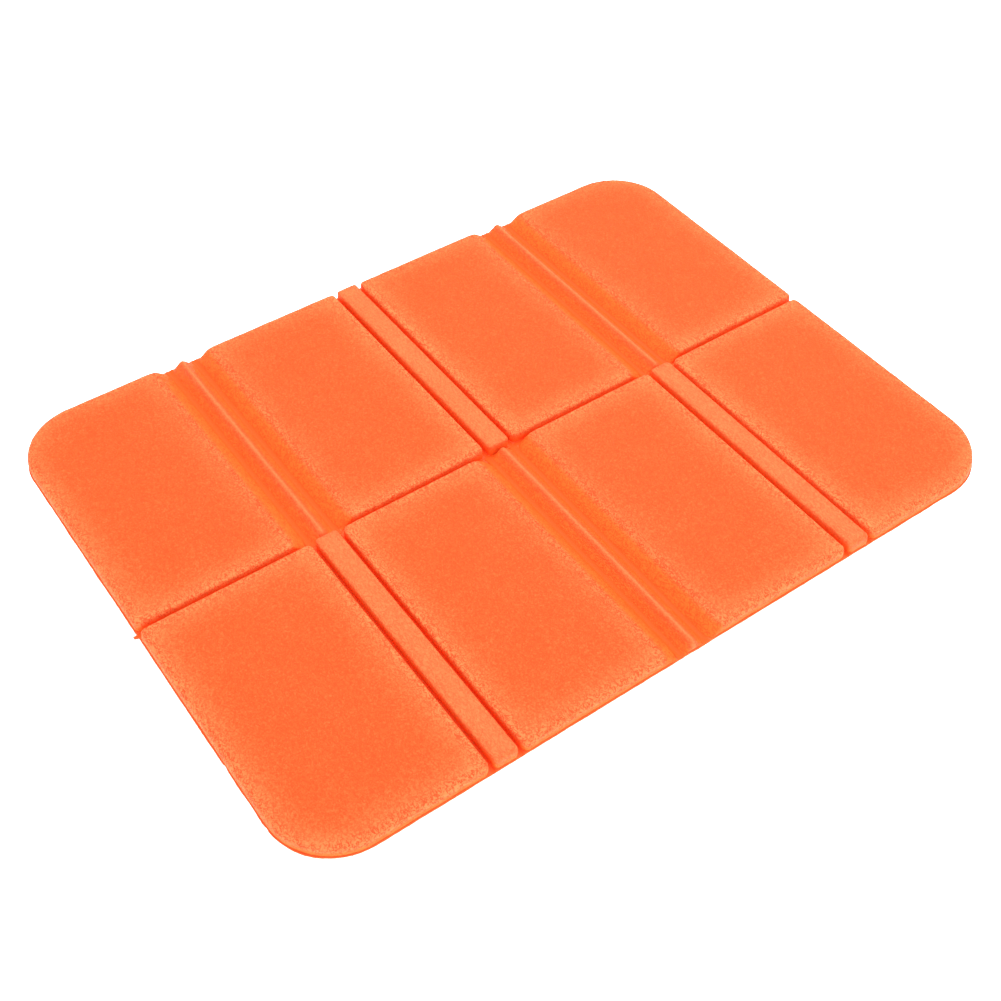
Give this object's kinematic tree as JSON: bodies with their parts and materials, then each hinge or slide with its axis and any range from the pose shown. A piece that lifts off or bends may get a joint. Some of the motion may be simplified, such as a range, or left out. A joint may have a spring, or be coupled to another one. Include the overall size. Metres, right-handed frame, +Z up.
{
  "type": "folding foam seat pad",
  "caption": "Folding foam seat pad of moulded closed-cell foam: rounded panels in two rows and four columns that fold along living hinges into a small stack.",
  "frame": {"origin": "centre of the underside of the open pad, which lies on Z = 0", "axes": "+X along the long side, from column 1 to column 4; +Y across the centre fold, towards the back row; +Z up through the moulded top face"},
  "size_m": [0.385, 0.29, 0.0067],
  "materials": {
    "foam": "matt closed-cell foam, heat-pressed skin with fine pores and an embossed grain",
    "ply": "matt thin foam ply, cut edge slightly lighter",
    "film": "foam pressed to a dense film, slightly satin and deeper in colour"
  },
  "bodies": {
    "back_panel_1": {"panel_ply_back_1": "ply", "panel_cushion_back_1": "foam", "centre_film_1": "film"},
    "back_panel_2": {"panel_ply_back_2": "ply", "panel_cushion_back_2": "foam", "centre_film_2": "film"},
    "back_panel_3": {"panel_ply_back_3": "ply", "panel_cushion_back_3": "foam", "centre_film_3": "film"},
    "back_panel_4": {"panel_ply_back_4": "ply", "panel_cushion_back_4": "foam", "centre_film_4": "film"},
    "back_spine_12": {"spine_ply_back_12": "ply", "ridge_back_12": "foam", "hinge_film_back_12_left": "film", "hinge_film_back_12_right": "film", "centre_film_12": "film"},
    "back_spine_23": {"spine_ply_back_23": "ply", "strip_back_23": "foam", "hinge_film_back_23_left": "film", "hinge_film_back_23_right": "film", "centre_film_23": "film"},
    "back_spine_34": {"spine_ply_back_34": "ply", "ridge_back_34": "foam", "hinge_film_back_34_left": "film", "hinge_film_back_34_right": "film", "centre_film_34": "film"},
    "front_panel_1": {"panel_ply_front_1": "ply", "panel_cushion_front_1": "foam"},
    "front_panel_2": {"panel_ply_front_2": "ply", "panel_cushion_front_2": "foam"},
    "front_panel_3": {"panel_ply_front_3": "ply", "panel_cushion_front_3": "foam"},
    "front_panel_4": {"panel_ply_front_4": "ply", "panel_cushion_front_4": "foam"},
    "front_spine_12": {"spine_ply_front_12": "ply", "strip_front_12": "foam", "hinge_film_front_12_left": "film", "hinge_film_front_12_right": "film"},
    "front_spine_23": {"spine_ply_front_23": "ply", "ridge_front_23": "foam", "hinge_film_front_23_left": "film", "hinge_film_front_23_right": "film"},
    "front_spine_34": {"spine_ply_front_34": "ply", "strip_front_34": "foam", "hinge_film_front_34_left": "film", "hinge_film_front_34_right": "film"}
  },
  "joints": [
    {"name": "centre_fold", "type": "hinge", "parent": "back_panel_2", "child": "front_panel_2", "pos_m": [-0.04913, 0, -0.0001], "axis": [1, 0, 0], "range_deg": [0, 180], "deforming": ["centre_film_1", "centre_film_12", "centre_film_2", "centre_film_23", "centre_film_3", "centre_film_34", "centre_film_4"]},
    {"name": "fold_12", "type": "hinge", "parent": "back_panel_2", "child": "back_spine_12", "pos_m": [-0.09125, 0.0725, 0], "axis": [0, 1, 0], "range_deg": [0, 90], "deforming": ["hinge_film_back_12_right", "hinge_film_front_12_right", "hinge_film_back_12_left", "hinge_film_front_12_left", "strip_front_12"]},
    {"name": "fold_12_panel", "type": "hinge", "parent": "back_spine_12", "child": "back_panel_1", "pos_m": [-0.10525, 0.0725, 0], "axis": [0, 1, 0], "range_deg": [0, 90]},
    {"name": "fold_23", "type": "hinge", "parent": "back_panel_2", "child": "back_spine_23", "pos_m": [-0.007, 0.0725, 0], "axis": [0, 1, 0], "range_deg": [0, 90], "deforming": ["hinge_film_back_23_left", "hinge_film_front_23_left", "hinge_film_back_23_right", "hinge_film_front_23_right"]},
    {"name": "fold_23_panel", "type": "hinge", "parent": "back_spine_23", "child": "back_panel_3", "pos_m": [0.007, 0.0725, 0], "axis": [0, 1, 0], "range_deg": [0, 90]},
    {"name": "fold_34", "type": "hinge", "parent": "back_panel_3", "child": "back_spine_34", "pos_m": [0.09125, 0.0725, 0], "axis": [0, -1, 0], "range_deg": [0, 90], "deforming": ["hinge_film_back_34_left", "hinge_film_front_34_left", "hinge_film_back_34_right", "hinge_film_front_34_right", "strip_front_34"]},
    {"name": "fold_34_panel", "type": "hinge", "parent": "back_spine_34", "child": "back_panel_4", "pos_m": [0.10525, 0.0725, 0], "axis": [0, -1, 0], "range_deg": [0, 90]},
    {"name": "centre_fold_panel_1", "type": "hinge", "parent": "back_panel_1", "child": "front_panel_1", "pos_m": [-0.14888, 0, -0.0001], "axis": [1, 0, 0], "range_deg": [0, 180]},
    {"name": "centre_fold_panel_3", "type": "hinge", "parent": "back_panel_3", "child": "front_panel_3", "pos_m": [0.04913, 0, -0.0001], "axis": [1, 0, 0], "range_deg": [0, 180]},
    {"name": "centre_fold_panel_4", "type": "hinge", "parent": "back_panel_4", "child": "front_panel_4", "pos_m": [0.14888, 0, -0.0001], "axis": [1, 0, 0], "range_deg": [0, 180]},
    {"name": "centre_fold_spine_12", "type": "hinge", "parent": "back_spine_12", "child": "front_spine_12", "pos_m": [-0.09825, 0, -0.0001], "axis": [1, 0, 0], "range_deg": [0, 180]},
    {"name": "centre_fold_spine_23", "type": "hinge", "parent": "back_spine_23", "child": "front_spine_23", "pos_m": [0, 0, -0.0001], "axis": [1, 0, 0], "range_deg": [0, 180]},
    {"name": "centre_fold_spine_34", "type": "hinge", "parent": "back_spine_34", "child": "front_spine_34", "pos_m": [0.09825, 0, -0.0001], "axis": [1, 0, 0], "range_deg": [0, 180]}
  ],
  "couplings": [
    {"joint": "centre_fold_panel_1", "follows": "centre_fold", "ratio": 1},
    {"joint": "centre_fold_panel_3", "follows": "centre_fold", "ratio": 1},
    {"joint": "centre_fold_panel_4", "follows": "centre_fold", "ratio": 1},
    {"joint": "centre_fold_spine_12", "follows": "centre_fold", "ratio": 1},
    {"joint": "centre_fold_spine_23", "follows": "centre_fold", "ratio": 1},
    {"joint": "centre_fold_spine_34", "follows": "centre_fold", "ratio": 1},
    {"joint": "fold_12_panel", "follows": "fold_12", "ratio": 1},
    {"joint": "fold_23_panel", "follows": "fold_23", "ratio": 1},
    {"joint": "fold_34_panel", "follows": "fold_34", "ratio": 1}
  ]
}
